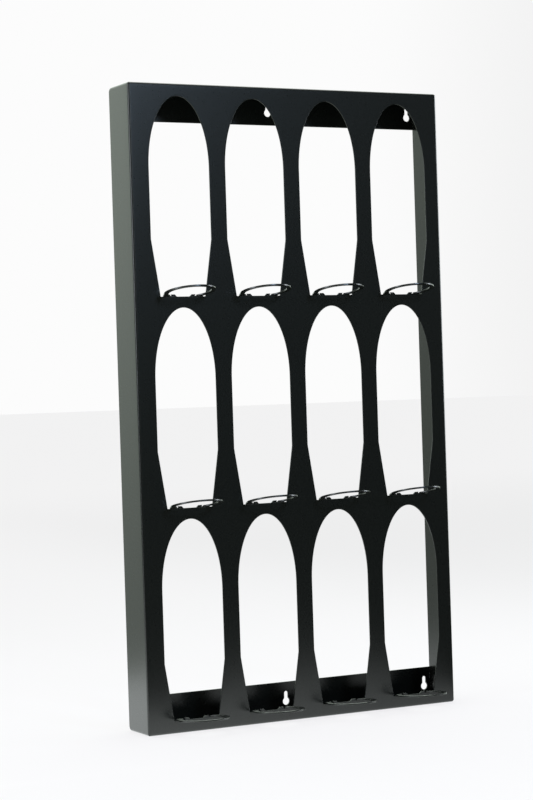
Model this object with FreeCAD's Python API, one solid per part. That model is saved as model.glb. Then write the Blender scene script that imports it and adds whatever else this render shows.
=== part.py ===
import FreeCAD, Part
import math
import os

# Wall wine rack: one folded sheet-steel casing with three rows of four arched bays,
# and a steel ring welded to the lower edge of each bay.
# Millimetres. +X right, +Y towards the wall, +Z up.
# The origin is at the base, in the middle of the width and of the whole depth.

# casing
width = 500.0
height = 905.0
depth = 66.0
sheet = 2.0
bend_outer = 3.5
bend_inner = bend_outer - sheet
corner_relief_radius = 0.8

# arched bays
rows = 3
columns = 4
bay_pitch_x = 118.4
bay_pitch_z = 295.0
bay_offset_x = 2.0
lowest_bay_z = 17.8
bay_height = 279.5
bay_half_width = 46.6
bay_foot_half_width = 34.5
taper_height = 80.0
arch_height = 99.0

# strips folded in at the back, with the keyholes that hang the rack
strip_height = 46.0
strip_end_gap = 1.0
keyhole_radius = 5.5
keyhole_slot_width = 6.0
keyhole_rise = 12.0
keyhole_offset_x = 237.0
keyhole_low_z = 17.5
keyhole_high_z = height - 28.0

# bottle rings; the arm angle, in degrees from the front of a ring, is where its round outer edge runs out
# into a straight arm, and the tilts are in degrees, from the top row to the bottom row
ring_outer = 36.4
ring_inner = 30.0
ring_centre_out = 22.0
ring_arm_angle = 110.0
ring_tilts = (11.0, 11.0, 3.0)
ring_bend_inner = 0.4
foot_height = 0.3
foot_inner_x = 10.0
tooth_height = 3.0
tooth_top_inner_x = 13.0
tooth_top_outer_x = 19.0
tooth_root_outer_x = 17.0

# weld beads
seam_bead_rear = 1.2
seam_bead_front = 0.5
corner_bead_radius = 3.0
corner_bead_length = 14.0
corner_beads_per_edge = 3
strip_bead_radius = 2.0
strip_bead_length = 10.0

# places worked out from the sizes above
ring_reach = ring_centre_out + ring_outer * math.cos(math.radians(min(ring_tilts)))
front_y = (ring_reach - depth) / 2.0
back_y = front_y + depth
half_width = width / 2.0


def vec(x, y, z):
    return FreeCAD.Vector(x, y, z)


def block(x0, x1, y0, y1, z0, z1):
    """Rectangular block between two corners."""
    return Part.makeBox(x1 - x0, y1 - y0, z1 - z0, vec(x0, y0, z0))


def closed_face(points):
    """Flat face inside a closed run of straight lines."""
    return Part.Face(Part.makePolygon(points + [points[0]]))


def folded_block(inset, radius):
    """Block with every fold rounded; the two upright rear edges stay square."""
    x = half_width - inset
    block_back = back_y - inset
    box = block(-x, x, front_y + inset, block_back, inset, height - inset)
    folds = []
    for edge in box.Edges:
        middle = edge.CenterOfMass
        upright = abs(middle.z - height / 2.0) < 1.0
        if not (upright and abs(middle.y - block_back) < 1.0):
            folds.append(edge)
    return box.makeFillet(radius, folds)


def bay_cutter(x, z):
    """Bay outline: tapered foot, straight sides, half-ellipse top, carried through the front sheet."""
    y = front_y - 1.0
    spring_z = z + bay_height - arch_height
    foot_left = vec(x - bay_foot_half_width, y, z)
    foot_right = vec(x + bay_foot_half_width, y, z)
    waist_left = vec(x - bay_half_width, y, z + taper_height)
    waist_right = vec(x + bay_half_width, y, z + taper_height)
    spring_left = vec(x - bay_half_width, y, spring_z)
    spring_right = vec(x + bay_half_width, y, spring_z)
    crown = vec(x, y, z + bay_height)
    ellipse = Part.Ellipse(crown, spring_right, vec(x, y, spring_z))
    arch = Part.ArcOfEllipse(ellipse, -math.pi / 2.0, math.pi / 2.0).toShape()
    lines = [
        Part.makeLine(spring_left, waist_left),
        Part.makeLine(waist_left, foot_left),
        Part.makeLine(foot_left, foot_right),
        Part.makeLine(foot_right, waist_right),
        Part.makeLine(waist_right, spring_right),
    ]
    outline = Part.Wire(Part.__sortEdges__(lines + [arch]))
    return Part.Face(outline).extrude(vec(0, sheet + 2.0, 0))


def keyhole_cutter(x, z):
    """Round hole for a screw head, with a narrower slot above it that ends round."""
    y = back_y - sheet - 1.0
    through = sheet + 2.0
    slot_half = keyhole_slot_width / 2.0
    along_y = vec(0, 1, 0)
    head = Part.makeCylinder(keyhole_radius, through, vec(x, y, z), along_y)
    slot_end = Part.makeCylinder(slot_half, through, vec(x, y, z + keyhole_rise), along_y)
    slot = block(x - slot_half, x + slot_half, y, y + through, z, z + keyhole_rise)
    return head.fuse([slot_end, slot])


def bay_feet():
    """Row number, column number and the middle of the lower edge of each bay; row 1 is the top row."""
    places = []
    for row in range(rows):
        for column in range(columns):
            x = bay_offset_x + (column - (columns - 1) / 2.0) * bay_pitch_x
            z = lowest_bay_z + (rows - 1 - row) * bay_pitch_z
            places.append((row + 1, column + 1, x, z))
    return places


def casing():
    """One folded sheet: front with the bays, four returns, and the two strips behind."""
    shell = folded_block(0.0, bend_outer).cut(folded_block(sheet, bend_inner))
    inside = half_width - sheet
    top_strip_z = height - strip_height
    cutters = [block(-inside, inside, back_y - sheet - 1.0, back_y + 1.0, strip_height, top_strip_z)]
    for side in (-1.0, 1.0):
        ends = sorted((side * inside, side * (inside - strip_end_gap)))
        gap_front = back_y - bend_outer
        cutters.append(block(ends[0], ends[1], gap_front, back_y + 1.0, bend_outer, strip_height + 1.0))
        top_gap_end = height - bend_outer
        cutters.append(block(ends[0], ends[1], gap_front, back_y + 1.0, top_strip_z - 1.0, top_gap_end))
        for corner_z, rise in ((0.0, -1.0), (height, 1.0)):
            outward = vec(side, -1.0, rise)
            start = vec(side * half_width, front_y, corner_z) - outward * bend_outer
            cutters.append(Part.makeCylinder(corner_relief_radius, 3.0 * bend_outer, start, outward))
    for _, _, x, z in bay_feet():
        cutters.append(bay_cutter(x, z))
    for x in (-keyhole_offset_x, 0.0, keyhole_offset_x):
        cutters.append(keyhole_cutter(x, keyhole_low_z))
        cutters.append(keyhole_cutter(x, keyhole_high_z))
    return shell.cut(cutters)


def centre_from_bend(tilt):
    """Distance along a ring's plate from the end of its bend to the middle of its hole."""
    return (ring_centre_out + ring_bend_inner * (math.sin(tilt) - 1.0)) / math.cos(tilt)


def hole_root_x(tilt):
    """Half the width of a ring's hole where its plate meets its bend."""
    return math.sqrt(ring_inner ** 2 - centre_from_bend(tilt) ** 2)


def arm_start(tilt):
    """Sideways and along the plate from its bend, where the round outer edge becomes a straight arm."""
    arm = math.radians(ring_arm_angle)
    return ring_outer * math.sin(arm), centre_from_bend(tilt) + ring_outer * math.cos(arm)


def arm_root_x(tilt):
    """Half the width over a ring's two arms where its plate meets its bend."""
    x, along = arm_start(tilt)
    return x + along / math.tan(math.radians(ring_arm_angle))


def ring_foot(side, tilt):
    """Upright foot of a ring on its seam, with the tooth that stands beside the bent root."""
    root_inner_x = hole_root_x(tilt)
    root_outer_x = arm_root_x(tilt)
    outline = [
        vec(side * foot_inner_x, 0, 0),
        vec(side * root_outer_x, 0, 0),
        vec(side * root_outer_x, 0, foot_height),
        vec(side * tooth_root_outer_x, 0, foot_height),
        vec(side * tooth_top_outer_x, 0, tooth_height),
        vec(side * tooth_top_inner_x, 0, tooth_height),
    ]
    foot = closed_face(outline).extrude(vec(0, sheet, 0))
    root = closed_face([
        vec(side * root_inner_x, 0, foot_height),
        vec(side * root_outer_x, 0, foot_height),
        vec(side * root_outer_x, sheet, foot_height),
        vec(side * root_inner_x, sheet, foot_height),
    ])
    bend_axis = vec(0, -ring_bend_inner, foot_height)
    bend = root.revolve(bend_axis, vec(1, 0, 0), 90.0 - math.degrees(tilt))
    return foot.fuse(bend)


def bottle_ring(x, z, tilt):
    """Flat ring, open at the back, whose two ends bend down to feet on the bay's lower edge."""
    bend_end_y = ring_bend_inner * (math.sin(tilt) - 1.0)
    bend_end_z = foot_height + ring_bend_inner * math.cos(tilt)
    centre = vec(0, -centre_from_bend(tilt), 0)
    arm_x, arm_along = arm_start(tilt)
    root_outer_x = arm_root_x(tilt)
    arms = closed_face([
        vec(-root_outer_x, 0, 0),
        vec(-arm_x, -arm_along, 0),
        centre,
        vec(arm_x, -arm_along, 0),
        vec(root_outer_x, 0, 0),
    ]).extrude(vec(0, 0, sheet))
    plate = Part.makeCylinder(ring_outer, sheet, centre).fuse(arms)
    plate = plate.cut(Part.makeCylinder(ring_inner, sheet + 2.0, centre - vec(0, 0, 1)))
    plate = plate.cut(block(-ring_outer, ring_outer, 0, 2.0 * ring_outer, -1.0, sheet + 1.0))
    plate.rotate(vec(0, 0, 0), vec(1, 0, 0), -math.degrees(tilt))
    plate.translate(vec(0, bend_end_y, bend_end_z))
    ring = plate.fuse([ring_foot(-1.0, tilt), ring_foot(1.0, tilt)]).removeSplitter()
    ring.translate(vec(x, front_y, z))
    return ring


def seam_beads(x, z, tilt):
    """Beads on the seam under a ring's two feet, a full one behind and a fine one in front."""
    beads = []
    root_outer_x = arm_root_x(tilt)
    length = root_outer_x - foot_inner_x - 1.0
    for side in (-1.0, 1.0):
        middle = side * (root_outer_x + foot_inner_x) / 2.0
        start = x + middle - length / 2.0
        for y, radius, turn in ((front_y + sheet, seam_bead_rear, -90.0), (front_y, seam_bead_front, 90.0)):
            bead = Part.makeCylinder(radius, length, vec(0, 0, 0), vec(0, 0, 1), 180.0)
            bead.rotate(vec(0, 0, 0), vec(0, 1, 0), 90.0)
            bead.rotate(vec(0, 0, 0), vec(1, 0, 0), turn)
            bead.translate(vec(start, y, z))
            beads.append(bead)
    return beads


def corner_beads(shell):
    """Short beads along the four seams where the side returns meet the top and bottom ones."""
    beads = []
    inside = half_width - sheet
    run = depth - 2.0 * bend_outer - corner_bead_length
    for side in (-1.0, 1.0):
        for z in (sheet, height - sheet):
            for number in range(corner_beads_per_edge):
                y = front_y + bend_outer + run * (number + 0.5) / corner_beads_per_edge
                corner = vec(side * inside, y, z)
                bead = Part.makeCylinder(corner_bead_radius, corner_bead_length, corner, vec(0, 1, 0))
                room = block(-inside, inside, y, y + corner_bead_length, sheet, height - sheet)
                beads.append(bead.common(room).cut(shell))
    return beads


def strip_beads(shell):
    """Short beads inside, joining each end of the rear strips to the side returns."""
    beads = []
    inside = half_width - sheet
    for side in (-1.0, 1.0):
        for z in (strip_height - 2.0 * strip_bead_length, height - strip_height + strip_bead_length):
            middle = vec(side * (inside - strip_end_gap / 2.0), back_y - sheet, z)
            bead = Part.makeCylinder(strip_bead_radius, strip_bead_length, middle, vec(0, 0, 1))
            room = block(-inside, inside, front_y, back_y, z, z + strip_bead_length)
            beads.append(bead.common(room).cut(shell))
    return beads


def save(shape, node):
    shape.exportStep("parts/" + node + ".step")


os.makedirs("parts", exist_ok=True)
folded_casing = casing()
save(folded_casing, "casing")
ring_beads = []
for row, column, foot_x, foot_z in bay_feet():
    row_tilt = math.radians(ring_tilts[row - 1])
    save(bottle_ring(foot_x, foot_z, row_tilt), "bottle_ring_r" + str(row) + "c" + str(column))
    ring_beads += seam_beads(foot_x, foot_z, row_tilt)
save(Part.makeCompound(ring_beads), "ring_welds")
save(Part.makeCompound(corner_beads(folded_casing)), "corner_welds")
save(Part.makeCompound(strip_beads(folded_casing)), "strip_welds")
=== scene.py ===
import math

import bmesh
import bpy
import numpy as np
from mathutils import Matrix, Vector


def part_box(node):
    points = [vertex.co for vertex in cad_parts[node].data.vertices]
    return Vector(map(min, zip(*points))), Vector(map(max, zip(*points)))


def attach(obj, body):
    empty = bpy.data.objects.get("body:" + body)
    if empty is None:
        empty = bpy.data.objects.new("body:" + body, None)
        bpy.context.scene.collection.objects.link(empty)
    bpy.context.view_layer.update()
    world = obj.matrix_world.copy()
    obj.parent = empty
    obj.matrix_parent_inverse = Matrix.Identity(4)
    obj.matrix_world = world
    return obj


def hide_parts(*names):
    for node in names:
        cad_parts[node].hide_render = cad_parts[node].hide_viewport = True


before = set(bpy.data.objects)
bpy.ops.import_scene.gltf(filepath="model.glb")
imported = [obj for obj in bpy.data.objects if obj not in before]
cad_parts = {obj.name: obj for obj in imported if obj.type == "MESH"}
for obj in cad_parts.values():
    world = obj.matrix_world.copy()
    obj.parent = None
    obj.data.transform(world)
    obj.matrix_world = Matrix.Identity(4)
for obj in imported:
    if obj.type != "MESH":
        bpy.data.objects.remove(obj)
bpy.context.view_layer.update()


# The case is one blank of 2 mm mild steel sheet. The bays, keyholes and corner reliefs are laser-cut in
# the flat blank, the edges are brushed, and the four returns and two rear strips are folded on a press
# brake. Every cut edge is softened by the powder that builds up on it.

MM = 0.001
SHEET = 2.0 * MM
FOLD_RADIUS = 3.5 * MM
CUT_EDGE_RADIUS = 0.5 * MM
FRONT_EDGE_WEIGHT, OTHER_EDGE_WEIGHT = 1.0, 0.15
SHARP_EDGE_ANGLE = math.radians(40.0)
EDGE_SEGMENTS = 3
MERGE_DISTANCE, SAME_PLACE = 0.02 * MM, 0.1 * MM
FOLD_STEPS, DEPTH_STEPS = 6, 4

case_low, case_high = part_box("casing")
half_width = case_high.x
height = case_high.z
front_y, back_y = case_low.y, case_high.y
flat_x = half_width - FOLD_RADIUS
flat_low, flat_high = FOLD_RADIUS, height - FOLD_RADIUS

ROWS, COLUMNS = 3, 4
PITCH_X, PITCH_Z = 118.4 * MM, 295.0 * MM
BAY_HEIGHT, TAPER_HEIGHT, ARCH_HEIGHT = 279.5 * MM, 80.0 * MM, 99.0 * MM
BAY_HALF_WIDTH, FOOT_HALF_WIDTH = 46.6 * MM, 34.5 * MM


def bay_foot(row, column):
    """The middle of a bay's lower edge, from the box of the ring that stands on it."""
    low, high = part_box("bottle_ring_r%dc%d" % (row, column))
    return (low.x + high.x) / 2.0, low.z


def straight(start, end, steps):
    """Points from start up to but not including end, evenly spaced."""
    share = np.arange(steps)[:, None] / steps
    return np.array(start) * (1.0 - share) + np.array(end) * share


def grid_faces(rows, columns, first=0):
    """The quads between neighbours of a grid of points that is rows by columns."""
    corner = first + np.arange(rows - 1)[:, None] * columns + np.arange(columns - 1)
    return np.stack([corner, corner + 1, corner + columns + 1, corner + columns], axis=-1).reshape(-1, 4)


def spread(inner, outer, shares):
    """A grid whose rows go from the curve inner to the curve outer, each at its share of the way."""
    shares = np.asarray(shares)[:, None, None]
    return inner[None] * (1.0 - shares) + outer[None] * shares


def closed(curve):
    """A curve with its first point repeated at its end."""
    return np.concatenate([curve, curve[:1]])


def mark_open_edges(mesh):
    """Bevel weights for the edges with one face: full in the plane of the front, small elsewhere."""
    places = np.empty(3 * len(mesh.vertices), np.float32)
    mesh.vertices.foreach_get("co", places)
    ends = np.empty(2 * len(mesh.edges), np.int32)
    mesh.edges.foreach_get("vertices", ends)
    used = np.empty(len(mesh.loops), np.int32)
    mesh.loops.foreach_get("edge_index", used)
    faces_beside = np.bincount(used, minlength=len(mesh.edges))
    middle_y = places.reshape(-1, 3)[ends.reshape(-1, 2), 1].mean(axis=1)
    weight = np.where(np.abs(middle_y - front_y) < SAME_PLACE, FRONT_EDGE_WEIGHT, OTHER_EDGE_WEIGHT)
    weight = np.where(faces_beside == 1, weight, 0.0).astype(np.float32)
    mesh.attributes.new("bevel_weight_edge", "FLOAT", "EDGE").data.foreach_set("value", weight)


def piece_from_grids(name, grids, outward):
    """One mesh from grids of points that share their borders, its faces turned to the side of outward."""
    mesh = bpy.data.meshes.new(name)
    points, faces, first = [], [], 0
    for grid in grids:
        points.append(grid.reshape(-1, 3))
        faces.append(grid_faces(grid.shape[0], grid.shape[1], first))
        first += grid.shape[0] * grid.shape[1]
    mesh.from_pydata(np.concatenate(points), [], np.concatenate(faces).tolist())
    shape = bmesh.new()
    shape.from_mesh(mesh)
    bmesh.ops.remove_doubles(shape, verts=shape.verts, dist=MERGE_DISTANCE)
    bmesh.ops.recalc_face_normals(shape, faces=shape.faces)
    outermost = max(shape.faces, key=lambda face: face.calc_center_median().dot(Vector(outward)))
    if outermost.normal.dot(Vector(outward)) < 0.0:
        bmesh.ops.reverse_faces(shape, faces=shape.faces)
    shape.to_mesh(mesh)
    shape.free()
    mark_open_edges(mesh)
    mesh.shade_smooth()
    piece = bpy.data.objects.new(name, mesh)
    bpy.context.scene.collection.objects.link(piece)
    return piece


def cut_sheet(piece, edge_radius, limit):
    """Gives a skin the sheet's thickness behind it. Rounds its cut edges to edge_radius, by their bevel
    weight or wherever they are sharp."""
    wall = piece.modifiers.new("sheet", "SOLIDIFY")
    wall.thickness, wall.offset, wall.use_even_offset = SHEET, -1.0, True
    edges = piece.modifiers.new("softened_edges", "BEVEL")
    edges.width, edges.segments, edges.limit_method = edge_radius, EDGE_SEGMENTS, limit
    edges.angle_limit = SHARP_EDGE_ANGLE
    edges.use_clamp_overlap = False
    normals = piece.modifiers.new("flat_faces_stay_flat", "WEIGHTED_NORMAL")
    normals.mode = "FACE_AREA"
    return piece


def bay_outline(x, z):
    """A bay from its foot's left corner, clockwise: up the taper and the straight side, over a half
    ellipse whose height is ARCH_HEIGHT, down the other side and back along the foot."""
    waist, spring = z + TAPER_HEIGHT, z + BAY_HEIGHT - ARCH_HEIGHT
    turn = np.linspace(math.pi, 0.0, ARCH_STEPS + 1)[:, None]
    arch = np.hstack([x + BAY_HALF_WIDTH * np.cos(turn), np.full_like(turn, front_y),
                      spring + ARCH_HEIGHT * np.sin(turn)])[:-1]
    corners = [(x - FOOT_HALF_WIDTH, front_y, z), (x - BAY_HALF_WIDTH, front_y, waist),
               (x - BAY_HALF_WIDTH, front_y, spring), (x + BAY_HALF_WIDTH, front_y, spring),
               (x + BAY_HALF_WIDTH, front_y, waist), (x + FOOT_HALF_WIDTH, front_y, z)]
    return np.concatenate([straight(corners[0], corners[1], TAPER_STEPS),
                           straight(corners[1], corners[2], SIDE_STEPS), arch,
                           straight(corners[3], corners[4], SIDE_STEPS),
                           straight(corners[4], corners[5], TAPER_STEPS),
                           straight(corners[5], corners[0], FOOT_STEPS)])


def rectangle(x0, x1, z0, z1, steps_x, steps_z, y):
    """The border of a flat cell from its lower left corner, clockwise."""
    corners = [(x0, y, z0), (x0, y, z1), (x1, y, z1), (x1, y, z0)]
    return np.concatenate([straight(corners[0], corners[1], steps_z),
                           straight(corners[1], corners[2], steps_x),
                           straight(corners[2], corners[3], steps_z),
                           straight(corners[3], corners[0], steps_x)])


def stations(stops, steps):
    """Places along one axis: each gap between two stops in equal steps, and the last stop."""
    gaps = [np.linspace(low, high, steps + 1)[:-1] for low, high in zip(stops, stops[1:])]
    return np.concatenate(gaps + [stops[-1:]])


TAPER_STEPS, SIDE_STEPS, ARCH_STEPS, FOOT_STEPS = 8, 6, 56, 20
CELL_STEPS_X = FOOT_STEPS
CELL_STEPS_Z = TAPER_STEPS + SIDE_STEPS + (ARCH_STEPS - CELL_STEPS_X) // 2
BAY_TO_CELL = (0.0, 0.25, 0.6, 1.0)

foot_x = [bay_foot(1, column + 1)[0] for column in range(COLUMNS)]
foot_z = [bay_foot(ROWS - row, 1)[1] for row in range(ROWS)]
bay_gap = PITCH_Z - BAY_HEIGHT
cell_x = [-flat_x] + [x + PITCH_X / 2.0 for x in foot_x[:-1]] + [flat_x]
cell_z = [flat_low] + [z + BAY_HEIGHT + bay_gap / 2.0 for z in foot_z[:-1]] + [flat_high]
border_x = stations(cell_x, CELL_STEPS_X)
border_z = stations(cell_z, CELL_STEPS_Z)

STRIP_END_CLEARANCE = 0.3 * MM
STRIP_END_X = half_width - SHEET - STRIP_END_CLEARANCE
case_grids = []
for column in range(COLUMNS):
    for row in range(ROWS):
        border = rectangle(cell_x[column], cell_x[column + 1], cell_z[row], cell_z[row + 1],
                           CELL_STEPS_X, CELL_STEPS_Z, front_y)
        outline = bay_outline(foot_x[column], foot_z[row])
        case_grids.append(spread(closed(outline), closed(border), BAY_TO_CELL))

# Along the depth, a return is a quarter turn at the front, a flat, and at its rear the quarter turn that
# the top and bottom returns make into their strips. drop is how far that turn has gone towards the strip.
quarter = np.linspace(0.0, math.pi / 2.0, FOLD_STEPS + 1)
return_flat = np.linspace(front_y + FOLD_RADIUS, back_y - FOLD_RADIUS, DEPTH_STEPS + 1)
depth_y = np.concatenate([return_flat, back_y - FOLD_RADIUS + FOLD_RADIUS * np.sin(quarter[1:])])
drop = np.concatenate([np.zeros(return_flat.size), FOLD_RADIUS * (1.0 - np.cos(quarter[1:]))])
front_turn_y = front_y + FOLD_RADIUS * (1.0 - np.cos(quarter))
front_turn_out = FOLD_RADIUS * np.sin(quarter)

STRIP_HEIGHT = 46.0 * MM
KEYHOLE_RADIUS, SLOT_HALF_WIDTH, KEYHOLE_RISE = 5.5 * MM, 3.0 * MM, 12.0 * MM
KEYHOLE_X = (-237.0 * MM, 0.0, 237.0 * MM)
KEYHOLE_LOW_Z, KEYHOLE_HIGH_Z = 17.5 * MM, height - 28.0 * MM
KEYHOLE_HEAD_STEPS, KEYHOLE_CAP_STEPS = 200, 80
LOWER_LEFT = 0.7 * KEYHOLE_RADIUS
HOLE_CELL_WIDE, HOLE_CELL_HIGH = 4, 10
KEYHOLE_TO_CELL = (0.0, 0.3, 1.0)


def keyhole_outline(x, z, count):
    """count points evenly along a keyhole, clockwise from its lower left: a round head, then a slot that
    rises from it and ends in a half circle."""
    mouth = math.asin(SLOT_HALF_WIDTH / KEYHOLE_RADIUS)
    head = np.linspace(mouth, 2.0 * math.pi - mouth, KEYHOLE_HEAD_STEPS)
    cap = np.linspace(-math.pi / 2.0, math.pi / 2.0, KEYHOLE_CAP_STEPS)
    round_head = np.stack([KEYHOLE_RADIUS * np.sin(head), KEYHOLE_RADIUS * np.cos(head)], axis=1)
    slot_end = np.stack([SLOT_HALF_WIDTH * np.sin(cap), KEYHOLE_RISE + SLOT_HALF_WIDTH * np.cos(cap)], axis=1)
    outline = closed(np.concatenate([round_head, slot_end]))
    along = np.concatenate([[0.0], np.cumsum(np.hypot(*np.diff(outline, axis=0).T))])
    start = np.argmin(np.hypot(outline[:, 0] + LOWER_LEFT, outline[:, 1] + LOWER_LEFT))
    at = (along[start] + np.arange(count) / count * along[-1]) % along[-1]
    return np.stack([x + np.interp(at, along, outline[:, 0]), np.full(count, back_y),
                     z + np.interp(at, along, outline[:, 1])], axis=1)


for end_z, turn, keyhole_z in ((flat_high, 1.0, KEYHOLE_HIGH_Z), (flat_low, -1.0, KEYHOLE_LOW_Z)):
    z = end_z + turn * np.concatenate([front_turn_out, FOLD_RADIUS - drop[1:]])
    y = np.concatenate([front_turn_y, depth_y[1:]])
    case_grids.append(np.stack(np.broadcast_arrays(border_x[None], y[:, None], z[:, None]), axis=-1))
    strip_end = height - STRIP_HEIGHT if turn > 0.0 else STRIP_HEIGHT
    z0, z1 = sorted((end_z, strip_end))
    strip_z = np.linspace(z0, z1, HOLE_CELL_HIGH + 1)
    gap_ends = [0]
    strip_grids = []
    for x in KEYHOLE_X:
        near = int(np.argmin(np.abs(border_x - x)))
        first = min(max(near - HOLE_CELL_WIDE // 2, 0), border_x.size - 1 - HOLE_CELL_WIDE)
        last = first + HOLE_CELL_WIDE
        cell = rectangle(border_x[first], border_x[last], z0, z1, HOLE_CELL_WIDE, HOLE_CELL_HIGH, back_y)
        cell[HOLE_CELL_HIGH:HOLE_CELL_HIGH + HOLE_CELL_WIDE, 0] = border_x[first:last]
        cell[-HOLE_CELL_WIDE:, 0] = border_x[last:first:-1]
        keyhole = keyhole_outline(x, keyhole_z, cell.shape[0])
        strip_grids.append(spread(closed(keyhole), closed(cell), KEYHOLE_TO_CELL))
        gap_ends += [first, last]
    gap_ends.append(border_x.size - 1)
    for start, end in zip(gap_ends[::2], gap_ends[1::2]):
        if end > start:
            plain_x = border_x[None, start:end + 1]
            strip_grids.append(np.stack(np.broadcast_arrays(plain_x, back_y, strip_z[:, None]), axis=-1))
    for grid in strip_grids:
        at_end = (np.abs(grid[..., 0]) > flat_x - SAME_PLACE) & (np.abs(grid[..., 2] - end_z) > SAME_PLACE)
        grid[..., 0] = np.where(at_end, np.sign(grid[..., 0]) * STRIP_END_X, grid[..., 0])
    case_grids += strip_grids

for side in (-1.0, 1.0):
    x = side * (flat_x + np.concatenate([front_turn_out, np.full(depth_y.size - 1, FOLD_RADIUS)]))
    y = np.concatenate([front_turn_y, depth_y[1:]])
    pull = np.concatenate([np.zeros(front_turn_y.size), drop[1:]])[:, None]
    z = np.clip(border_z[None], flat_low + pull, flat_high - pull)
    case_grids.append(np.stack(np.broadcast_arrays(x[:, None], y[:, None], z), axis=-1))
    for end_z, turn in ((flat_high, 1.0), (flat_low, -1.0)):
        x = side * (flat_x + FOLD_RADIUS * np.cos(quarter))
        z = end_z + turn * (FOLD_RADIUS * np.sin(quarter)[None] - drop[:, None])
        case_grids.append(np.stack(np.broadcast_arrays(x[None], depth_y[:, None], z), axis=-1))

# Where two folds and a seam meet, the blank has a small round relief. The corner around it is a piece of
# a ball between the two folds and the seam.
RELIEF_RADIUS = 0.9 * MM
RELIEF_TO_FOLDS = (0.0, 0.5, 1.0)
for side in (-1.0, 1.0):
    for end_z, turn in ((flat_high, 1.0), (flat_low, -1.0)):
        rise, out = FOLD_RADIUS * np.sin(quarter), FOLD_RADIUS * np.cos(quarter)
        zero = np.zeros(quarter.size)
        arcs = [np.stack([out, zero, rise], axis=1)[:-1], np.stack([zero, -rise, out], axis=1)[:-1],
                np.stack([rise, -out, zero], axis=1)[:-1]]
        border = np.concatenate(arcs)
        diagonal = np.array([1.0, -1.0, 1.0]) / math.sqrt(3.0)
        toward = border - (border @ diagonal)[:, None] * diagonal
        toward /= np.linalg.norm(toward, axis=1)[:, None]
        relief = diagonal * math.sqrt(FOLD_RADIUS ** 2 - RELIEF_RADIUS ** 2) + toward * RELIEF_RADIUS
        corner = spread(closed(relief), closed(border), RELIEF_TO_FOLDS)
        corner *= FOLD_RADIUS / np.linalg.norm(corner, axis=2)[:, :, None]
        place = np.array([side * flat_x, front_y + FOLD_RADIUS, end_z])
        case_grids.append(place + corner * np.array([side, 1.0, turn]))

case = cut_sheet(piece_from_grids("folded_case", case_grids, (0.0, -1.0, 0.0)), CUT_EDGE_RADIUS, "WEIGHT")


def linear(hex_colour):
    """sRGB hex such as '1a1b1c' to linear RGB with alpha 1."""
    channels = [int(hex_colour[i:i + 2], 16) / 255.0 for i in (0, 2, 4)]
    return tuple(c / 12.92 if c <= 0.04045 else ((c + 0.055) / 1.055) ** 2.4 for c in channels) + (1.0,)


def add_node(tree, kind, settings=None, links=None):
    """A node of this kind; settings sets its own properties and sockets, links joins sockets to outputs."""
    node = tree.nodes.new(kind)
    for name, value in (settings or {}).items():
        if isinstance(name, int) or name in node.inputs:
            node.inputs[name].default_value = value
        else:
            setattr(node, name, value)
    for name, output in (links or {}).items():
        tree.links.new(output, node.inputs[name])
    return node


# Polyester powder, sprayed on and baked at about 190 degrees. The melt levels into a satin film with an
# orange peel about 2 mm from crest to crest and the powder's own fine grit, so a deep black breaks up
# the bright studio that it reflects.
POWDER_BLACK = "090b09"
PEEL_WAVE = 2.2 * MM
GRIT_WAVE = 0.6 * MM
PEEL_HEIGHT = 0.004 * MM
GRIT_SHARE = 0.12
SMOOTHEST, ROUGHEST = 0.26, 0.31
FILM_IOR = 1.5


def satin_black_powder_coat():
    """Near-black dielectric film. The peel drives its roughness; the peel and a little grit, its bump."""
    material = bpy.data.materials.new("satin_black_powder_coat")
    material.use_nodes = True
    tree = material.node_tree
    tree.nodes.clear()
    place = add_node(tree, "ShaderNodeTexCoord")
    peel = add_node(tree, "ShaderNodeTexNoise", {"Scale": 1.0 / PEEL_WAVE, "Detail": 1.0},
                    {"Vector": place.outputs["Object"]})
    grit = add_node(tree, "ShaderNodeTexNoise", {"Scale": 1.0 / GRIT_WAVE, "Detail": 0.0},
                    {"Vector": place.outputs["Object"]})
    relief = add_node(tree, "ShaderNodeMath", {"operation": "MULTIPLY_ADD", 1: GRIT_SHARE},
                      {0: grit.outputs["Fac"], 2: peel.outputs["Fac"]})
    bump = add_node(tree, "ShaderNodeBump", {"Strength": 1.0, "Distance": PEEL_HEIGHT},
                    {"Height": relief.outputs["Value"]})
    gloss = add_node(tree, "ShaderNodeMapRange", {"To Min": SMOOTHEST, "To Max": ROUGHEST},
                     {"Value": peel.outputs["Fac"]})
    film = add_node(tree, "ShaderNodeBsdfPrincipled", {"Base Color": linear(POWDER_BLACK), "IOR": FILM_IOR},
                    {"Roughness": gloss.outputs["Result"], "Normal": bump.outputs["Normal"]})
    add_node(tree, "ShaderNodeOutputMaterial", None, {"Surface": film.outputs["BSDF"]})
    return material


powder_coat = satin_black_powder_coat()
case.data.materials.append(powder_coat)
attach(case, "root")
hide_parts("casing")


# Each bottle ring is cut from the same 2 mm sheet: a flat ring, open at the back, whose two ends bend
# down to feet on the bay's lower edge. A tooth beside each bent root stands up from the foot.

RING_OUTER, RING_INNER = 36.4 * MM, 30.0 * MM
RING_CENTRE_OUT = 22.0 * MM
RING_TILTS = (11.0, 11.0, 3.0)
ARM_ANGLE = 110.0
RING_BEND_INNER = 0.4 * MM
RING_BEND_OUTER = RING_BEND_INNER + SHEET
FOOT_HEIGHT, FOOT_INNER_X = 0.3 * MM, 10.0 * MM
TOOTH_HEIGHT, TOOTH_ROOT_X = 3.0 * MM, 17.0 * MM
TOOTH_TOP_X = (13.0 * MM, 19.0 * MM)
RING_EDGE_RADIUS = 0.28 * MM
CURVED_SHARE = 0.85
RING_AROUND, RING_ACROSS = 97, 7
BEND_POINTS, TOOTH_POINTS, GAP_POINTS = 9, 5, 4


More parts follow.
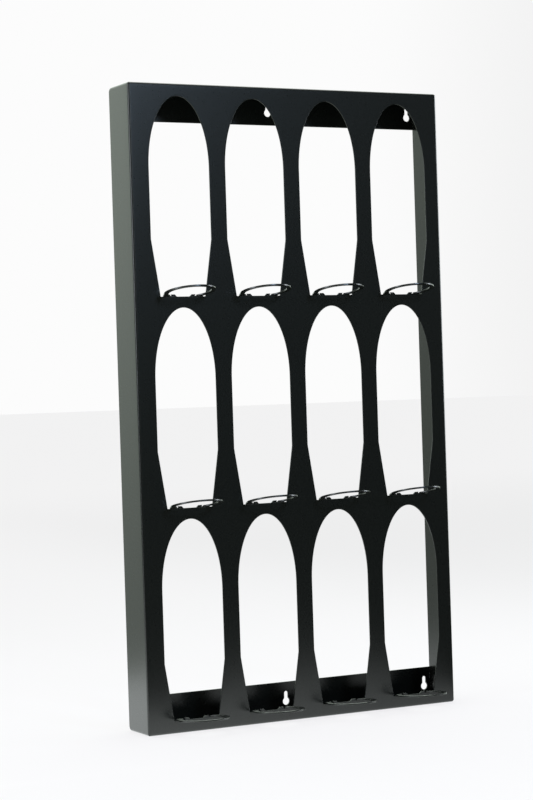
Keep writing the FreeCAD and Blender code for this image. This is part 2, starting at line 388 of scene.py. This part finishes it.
def bend_to_hole(tilt):
    """Along the plate from the end of its bend to the middle of its hole."""
    return (RING_CENTRE_OUT + RING_BEND_INNER * (math.sin(tilt) - 1.0)) / math.cos(tilt)


def ring_root_x(tilt):
    """Half widths of the hole and of the outer edge on the line of the bend."""
    out, arm = bend_to_hole(tilt), math.radians(ARM_ANGLE)
    hole = math.sqrt(RING_INNER ** 2 - out ** 2)
    return hole, RING_OUTER * math.sin(arm) + (out + RING_OUTER * math.cos(arm)) / math.tan(arm)


def ring_plate(tilt):
    """Straight lines across from the hole's edge, an arc that stops on the line of the bend, to the
    outer edge, an arc up to ARM_ANGLE that then runs straight to its root. The plate rises by tilt."""
    out, arm = bend_to_hole(tilt), math.radians(ARM_ANGLE)
    s = np.linspace(-1.0, 1.0, RING_AROUND)
    angle = s * math.acos(-out / RING_INNER)
    hole = np.stack([RING_INNER * np.sin(angle), out + RING_INNER * np.cos(angle)], axis=1)
    angle = np.clip(s / CURVED_SHARE, -1.0, 1.0) * arm
    edge = np.stack([RING_OUTER * np.sin(angle), out + RING_OUTER * np.cos(angle)], axis=1)
    past = np.clip((np.abs(s) - CURVED_SHARE) / (1.0 - CURVED_SHARE), 0.0, 1.0)[:, None]
    root = np.stack([np.sign(s) * ring_root_x(tilt)[1], np.zeros_like(s)], axis=1)
    edge = edge * (1.0 - past) + root * past
    flat = spread(hole, edge, np.linspace(0.0, 1.0, RING_ACROSS))
    y = RING_BEND_OUTER * math.sin(tilt) - RING_BEND_INNER - flat[..., 1] * math.cos(tilt)
    z = RING_BEND_OUTER * math.cos(tilt) + FOOT_HEIGHT + flat[..., 1] * math.sin(tilt)
    return np.stack([flat[..., 0], y, z], axis=-1)


def ring_root(tilt, x):
    """The plate's end turned down about the bend's axis, from the plate's tilt to upright."""
    turn = np.linspace(math.pi / 2.0 - tilt, 0.0, BEND_POINTS)[:, None]
    y = RING_BEND_OUTER * np.cos(turn) - RING_BEND_INNER
    z = RING_BEND_OUTER * np.sin(turn) + FOOT_HEIGHT
    return np.stack(np.broadcast_arrays(x[None], y, z), axis=-1)


def upright(lower_x, upper_x, z0, z1, steps):
    """A flat upright patch on the foot's rear face between a lower and an upper run of points."""
    share = np.linspace(0.0, 1.0, steps)[:, None]
    x = lower_x[None] * (1.0 - share) + upper_x[None] * share
    z = z0 + (z1 - z0) * share
    return np.stack(np.broadcast_arrays(x, SHEET, z), axis=-1)


def ring_skin(tilt):
    """The plate, and on each side its bent root, the foot under it and the tooth."""
    grids = [ring_plate(tilt)]
    root = np.linspace(*ring_root_x(tilt), RING_ACROSS)
    lean = (TOOTH_TOP_X[0] - FOOT_INNER_X) * FOOT_HEIGHT / TOOTH_HEIGHT
    tooth_low = np.linspace(FOOT_INNER_X, TOOTH_ROOT_X, TOOTH_POINTS)
    tooth_foot = np.linspace(FOOT_INNER_X + lean, TOOTH_ROOT_X, TOOTH_POINTS)
    tooth_top = np.linspace(*TOOTH_TOP_X, TOOTH_POINTS)
    gap = np.linspace(TOOTH_ROOT_X, root[0], GAP_POINTS)
    for side in (-1.0, 1.0):
        parts = [ring_root(tilt, root), upright(root, root, 0.0, FOOT_HEIGHT, 2),
                 upright(gap, gap, 0.0, FOOT_HEIGHT, 2), upright(tooth_low, tooth_foot, 0.0, FOOT_HEIGHT, 2),
                 upright(tooth_foot, tooth_top, FOOT_HEIGHT, TOOTH_HEIGHT, TOOTH_POINTS)]
        grids += [part * np.array([side, 1.0, 1.0]) for part in parts]
    return grids


for row in range(1, ROWS + 1):
    for column in range(1, COLUMNS + 1):
        x, z = bay_foot(row, column)
        place = np.array([x, front_y, z])
        skin = [grid + place for grid in ring_skin(math.radians(RING_TILTS[row - 1]))]
        node = "bottle_ring_r%dc%d" % (row, column)
        ring = cut_sheet(piece_from_grids("ring_r%dc%d" % (row, column), skin, (0.0, 0.0, 1.0)),
                         RING_EDGE_RADIUS, "ANGLE")
        ring.data.materials.append(powder_coat)
        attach(ring, "root")
        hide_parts(node)


# The welds are MIG beads laid before the powder: a full bead behind and a fine one in front under each
# ring's feet, short fillets in the four corner seams, and tacks at the ends of the rear strips.

RIPPLE_WAVE = 1.6 * MM
RIPPLE_DEPTH = 0.10
POINTS_PER_RIPPLE, FEWEST_POINTS, BEAD_ARC_POINTS = 6.0, 9, 9
SEAM_BEAD_REAR, SEAM_BEAD_FRONT, SEAM_BEAD_SHORTER = 1.2 * MM, 0.5 * MM, 1.0 * MM
CORNER_BEAD_RADIUS, CORNER_BEAD_LENGTH, CORNER_BEADS = 3.0 * MM, 14.0 * MM, 3
STRIP_BEAD_RADIUS, STRIP_BEAD_LENGTH, STRIP_END_GAP = 2.0 * MM, 10.0 * MM, 1.0 * MM


def bead(root, along, first, second, radius, length, sweep):
    """A radius carried along root + s along, turned from first towards second by sweep. It grows and
    dies away over one radius at the ends as a quarter circle, and the ripples of the pool are a row
    of low half sines. The flat side closes through the root line."""
    s = np.linspace(0.0, length, max(FEWEST_POINTS, int(POINTS_PER_RIPPLE * length / RIPPLE_WAVE)))
    end = np.clip(np.minimum(s, length - s) / radius, 0.0, 1.0)
    size = radius * np.sqrt(1.0 - (1.0 - end) ** 2)
    size = size * (1.0 - RIPPLE_DEPTH * (1.0 - np.abs(np.sin(math.pi * s / RIPPLE_WAVE))))
    turn = np.linspace(0.0, sweep, BEAD_ARC_POINTS)
    first, second = np.array(first, float), np.array(second, float)
    spoke = np.cos(turn)[:, None] * first + np.sin(turn)[:, None] * second
    line = np.array(root)[None] + s[:, None] * np.array(along, float)
    arc = line[None] + size[None, :, None] * spoke[:, None]
    return [arc, np.stack([arc[-1], line]), np.stack([line, arc[0]])]


def bead_piece(name, grids, node):
    """One mesh of separate closed beads."""
    piece = piece_from_grids(name, grids, (0.0, 0.0, 1.0))
    piece.data.materials.append(powder_coat)
    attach(piece, "root")
    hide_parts(node)
    return piece


UP, DOWN, REAR, FRONT, RIGHT = (0, 0, 1), (0, 0, -1), (0, 1, 0), (0, -1, 0), (1, 0, 0)
seam_grids = []
for row in range(1, ROWS + 1):
    tilt = math.radians(RING_TILTS[row - 1])
    root_outer = ring_root_x(tilt)[1]
    length = root_outer - FOOT_INNER_X - SEAM_BEAD_SHORTER
    for column in range(1, COLUMNS + 1):
        x, z = bay_foot(row, column)
        for side in (-1.0, 1.0):
            start = x + side * (root_outer + FOOT_INNER_X) / 2.0 - length / 2.0
            behind, before = (start, front_y + SHEET, z), (start, front_y, z)
            seam_grids += bead(behind, RIGHT, DOWN, REAR, SEAM_BEAD_REAR, length, math.pi)
            seam_grids += bead(before, RIGHT, UP, FRONT, SEAM_BEAD_FRONT, length, math.pi)
bead_piece("ring_seam_beads", seam_grids, "ring_welds")

corner_grids = []
inside_x = half_width - SHEET
run = back_y - front_y - 2.0 * FOLD_RADIUS - CORNER_BEAD_LENGTH
for side in (-1.0, 1.0):
    for z, into in ((SHEET, 1.0), (height - SHEET, -1.0)):
        for number in range(CORNER_BEADS):
            y = front_y + FOLD_RADIUS + run * (number + 0.5) / CORNER_BEADS
            corner_grids += bead((side * inside_x, y, z), REAR, (-side, 0, 0), (0, 0, into),
                                 CORNER_BEAD_RADIUS, CORNER_BEAD_LENGTH, math.pi / 2.0)
bead_piece("corner_fillets", corner_grids, "corner_welds")

tack_grids = []
for side in (-1.0, 1.0):
    for z in (STRIP_HEIGHT - 2.0 * STRIP_BEAD_LENGTH, height - STRIP_HEIGHT + STRIP_BEAD_LENGTH):
        root = (side * (inside_x - STRIP_END_GAP / 2.0), back_y - SHEET, z)
        tack_grids += bead(root, UP, (-side, 0, 0), FRONT, STRIP_BEAD_RADIUS, STRIP_BEAD_LENGTH,
                           math.pi / 2.0)
bead_piece("strip_tacks", tack_grids, "strip_welds")


# The rack stands on a pale table top that glows as painted light, with pale walls behind it and to its left.
# The camera looks slightly down from the front left. The room in front is dark but for a window light and a
# narrower lamp at the left, and broad lamps hang above and stand at both sides.

camera_place = Vector((-1.4419, front_y - 2.6673, 0.4826))
camera_heading = math.radians(27.555)
camera_pitch = math.radians(-0.445)
camera_roll = math.radians(-1.832)
camera = bpy.data.objects.new("camera", bpy.data.cameras.new("camera"))
camera.data.lens = 95.13
camera.data.sensor_width = 36.0
camera.data.dof.use_dof = False
camera.matrix_world = (Matrix.Translation(camera_place) @ Matrix.Rotation(-camera_heading, 4, "Z")
                       @ Matrix.Rotation(math.pi / 2.0 + camera_pitch, 4, "X")
                       @ Matrix.Rotation(camera_roll, 4, "Z"))
bpy.context.scene.collection.objects.link(camera)
bpy.context.scene.camera = camera


def white_sweep_painted_light():
    """Matt white paint that glows though it is no lamp: painted light. The camera sees it just under white,
    in a painted shade that sinks a little behind the rack and to the right and rises again far off. For all
    other rays it glows brighter, most on the left, and the rack reflects this painted light."""
    material = bpy.data.materials.new("white_sweep_painted_light")
    material.use_nodes = True
    tree = material.node_tree
    tree.nodes.clear()
    place = add_node(tree, "ShaderNodeTexCoord")
    axes = add_node(tree, "ShaderNodeSeparateXYZ", None, {0: place.outputs["Object"]})
    # Painted shade: the glow the camera sees sinks behind the rack and to the right, and rises again far off.
    behind = add_node(tree, "ShaderNodeMapRange", {"interpolation_type": "SMOOTHSTEP", "From Min": 0.2,
                      "From Max": 1.6, "To Min": 0.775, "To Max": 0.755}, {"Value": axes.outputs["Y"]})
    beyond = add_node(tree, "ShaderNodeMapRange", {"interpolation_type": "SMOOTHSTEP", "From Min": 1.6,
                      "From Max": 7.0, "To Min": 0.0, "To Max": 0.075}, {"Value": axes.outputs["Y"]})
    right = add_node(tree, "ShaderNodeMapRange", {"interpolation_type": "SMOOTHSTEP", "From Min": 0.5,
                     "From Max": 1.6, "To Min": 0.0, "To Max": -0.045}, {"Value": axes.outputs["X"]})
    tone = add_node(tree, "ShaderNodeMath", {"operation": "ADD"},
                    {0: behind.outputs["Result"], 1: beyond.outputs["Result"]})
    glow = add_node(tree, "ShaderNodeMath", {"operation": "ADD"},
                    {0: tone.outputs["Value"], 1: right.outputs["Result"]})
    seen = add_node(tree, "ShaderNodeBsdfPrincipled",
                    {"Base Color": linear("6c6c6c"), "Roughness": 0.7, "Specular IOR Level": 0.0,
                     "Emission Color": linear("fffdff")}, {"Emission Strength": glow.outputs["Value"]})
    # Painted light: for every ray but the camera's the floor glows, brightest to the left.
    brightness = add_node(tree, "ShaderNodeMapRange", {"From Min": -0.6, "From Max": 0.2, "To Min": 2.3,
                     "To Max": 1.3}, {"Value": axes.outputs["X"]})
    lit = add_node(tree, "ShaderNodeEmission", {"Color": linear("f6fcfb")},
                   {"Strength": brightness.outputs["Result"]})
    path = add_node(tree, "ShaderNodeLightPath")
    both = add_node(tree, "ShaderNodeMixShader", None,
                    {0: path.outputs["Is Camera Ray"], 1: lit.outputs[0], 2: seen.outputs[0]})
    add_node(tree, "ShaderNodeOutputMaterial", None, {"Surface": both.outputs[0]})
    return material


def floor_sheet(name, corners, z, paint):
    """A flat polygon through corners, anticlockwise from above, so that it faces up."""
    mesh = bpy.data.meshes.new(name)
    mesh.from_pydata([(x, y, z) for x, y in corners], [], [tuple(range(len(corners)))])
    floor = bpy.data.objects.new(name, mesh)
    floor.data.materials.append(paint)
    bpy.context.scene.collection.objects.link(floor)
    return floor


# The floor glows though it is no lamp: its emission is painted light, with painted shade where the camera
# sees it.
floor_painted_light = white_sweep_painted_light()
lit_area = ((-2.5, -0.22), (-0.10, -0.22), (0.08, -0.40), (0.33, -0.40), (0.33, 0.56), (-2.5, 0.56))
floor_sheet("near_floor", lit_area, 0.0, floor_painted_light)
far_area = ((-40.0, -40.0), (40.0, -40.0), (40.0, 40.0), (-40.0, 40.0))
FAR_FLOOR_DROP = 0.5 * MM
far_floor = floor_sheet("far_floor", far_area, -FAR_FLOOR_DROP, floor_painted_light)
far_floor.visible_glossy = False


def softbox(name, place, aim, width, height, power, colour):
    """A rectangular lamp at place that faces aim."""
    light = bpy.data.lights.new(name, "AREA")
    light.shape = "RECTANGLE"
    light.size = width
    light.size_y = height
    light.energy = power
    light.color = linear(colour)[:3]
    lamp = bpy.data.objects.new(name, light)
    lamp.location = place
    lamp.rotation_euler = (Vector(aim) - Vector(place)).to_track_quat("-Z", "Y").to_euler()
    bpy.context.scene.collection.objects.link(lamp)
    return lamp


softbox("window_softbox", (0.45, -2.9, 1.85), (0.0, 0.0, 0.5), 0.6, 0.6, 34.0, "c8def7")
softbox("overhead_softbox", (0.0, 0.4, 3.2), (0.0, 0.0, 0.0), 3.0, 3.0, 40.0, "ffffff")
softbox("left_softbox", (-2.9, -0.2, 1.3), (0.0, 0.0, 0.6), 0.9, 1.6, 45.0, "eaf2fa")
softbox("right_softbox", (2.9, -0.5, 1.1), (0.0, 0.0, 0.6), 0.9, 1.6, 45.0, "eaf2fa")
softbox("near_left_softbox", (-0.85, -3.3, 1.65), (0.0, 0.0, 0.6), 0.5, 1.3, 14.0, "eaf2fa")


def studio_world():
    """Pale to the rear and left and brighter upwards, dark in front. The camera sees a pale wall that is
    a little darker to the right."""
    world = bpy.data.worlds.new("studio")
    world.use_nodes = True
    tree = world.node_tree
    tree.nodes.clear()
    towards = add_node(tree, "ShaderNodeTexCoord")
    axes = add_node(tree, "ShaderNodeSeparateXYZ", None, {0: towards.outputs["Generated"]})
    rear = add_node(tree, "ShaderNodeMapRange", {"interpolation_type": "SMOOTHSTEP", "From Min": -0.15,
                    "From Max": 0.35, "To Min": 0.0, "To Max": 1.0}, {"Value": axes.outputs["Y"]})
    sweep = add_node(tree, "ShaderNodeMapRange", {"From Min": -0.12, "From Max": 0.16, "To Min": 0.7,
                     "To Max": 2.05}, {"Value": axes.outputs["Z"]})
    left = add_node(tree, "ShaderNodeMapRange", {"interpolation_type": "SMOOTHSTEP", "From Min": -0.58,
                    "From Max": -0.42, "To Min": 0.2, "To Max": 1.0}, {"Value": axes.outputs["X"]})
    wall = add_node(tree, "ShaderNodeMath", {"operation": "MULTIPLY"},
                    {0: sweep.outputs["Result"], 1: left.outputs["Result"]})
    glow = add_node(tree, "ShaderNodeMix", {"data_type": "FLOAT", 2: 0.05},
                    {0: rear.outputs["Result"], 3: wall.outputs["Value"]})
    lit = add_node(tree, "ShaderNodeBackground", {"Color": linear("eefbef")}, {"Strength": glow.outputs[0]})
    shade = add_node(tree, "ShaderNodeMapRange", {"interpolation_type": "SMOOTHSTEP", "From Min": 0.49,
                     "From Max": 0.60, "To Min": 1.0, "To Max": 0.90}, {"Value": axes.outputs["X"]})
    seen = add_node(tree, "ShaderNodeBackground", {"Color": linear("fcfcfc")},
                    {"Strength": shade.outputs["Result"]})
    path = add_node(tree, "ShaderNodeLightPath")
    both = add_node(tree, "ShaderNodeMixShader", None,
                    {0: path.outputs["Is Camera Ray"], 1: lit.outputs[0], 2: seen.outputs[0]})
    add_node(tree, "ShaderNodeOutputWorld", None, {"Surface": both.outputs[0]})
    return world


bpy.context.scene.world = studio_world()
bpy.context.scene.view_settings.view_transform = "Standard"
